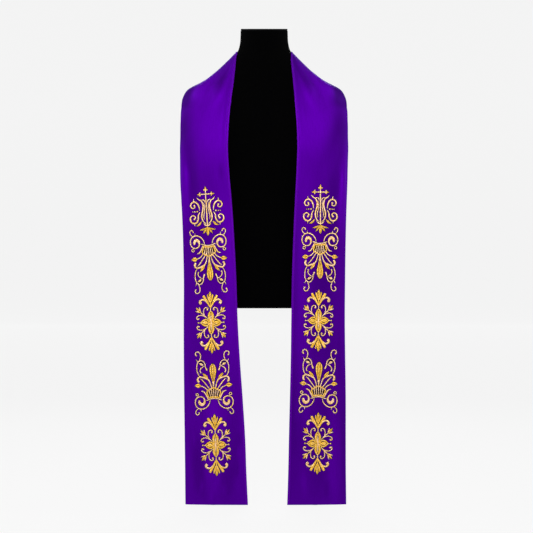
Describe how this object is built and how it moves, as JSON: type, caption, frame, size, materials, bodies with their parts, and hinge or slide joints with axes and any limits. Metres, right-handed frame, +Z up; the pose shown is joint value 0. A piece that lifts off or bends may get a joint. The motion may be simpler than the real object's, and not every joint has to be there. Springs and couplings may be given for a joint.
{
  "type": "clerical stole on a limbless dress form",
  "caption": "Long embroidered clerical stole, hung round the neck of a limbless torso form on two plain legs, with both bands falling straight down the front.",
  "frame": {"origin": "on the floor, at the middle of the part's base rectangle", "axes": "+Z up, the form's front and the hanging bands face -Y, +X to the right as seen from the front"},
  "size_m": [0.4582, 0.3072, 1.3063],
  "materials": {
    "stole_cloth": "satin weave, violet",
    "gold_thread": "metallic gold embroidery thread",
    "form_jersey": "matt black jersey",
    "stand_steel": "black powder coat"
  },
  "bodies": {
    "root": {"stole_left": "stole_cloth", "stole_right": "stole_cloth", "torso": "form_jersey", "neck_plate": "stand_steel", "leg_left": "stand_steel", "leg_right": "stand_steel", "flange_left": "stand_steel", "flange_right": "stand_steel", "foot_left": "stand_steel", "foot_right": "stand_steel"}
  },
  "joints": []
}
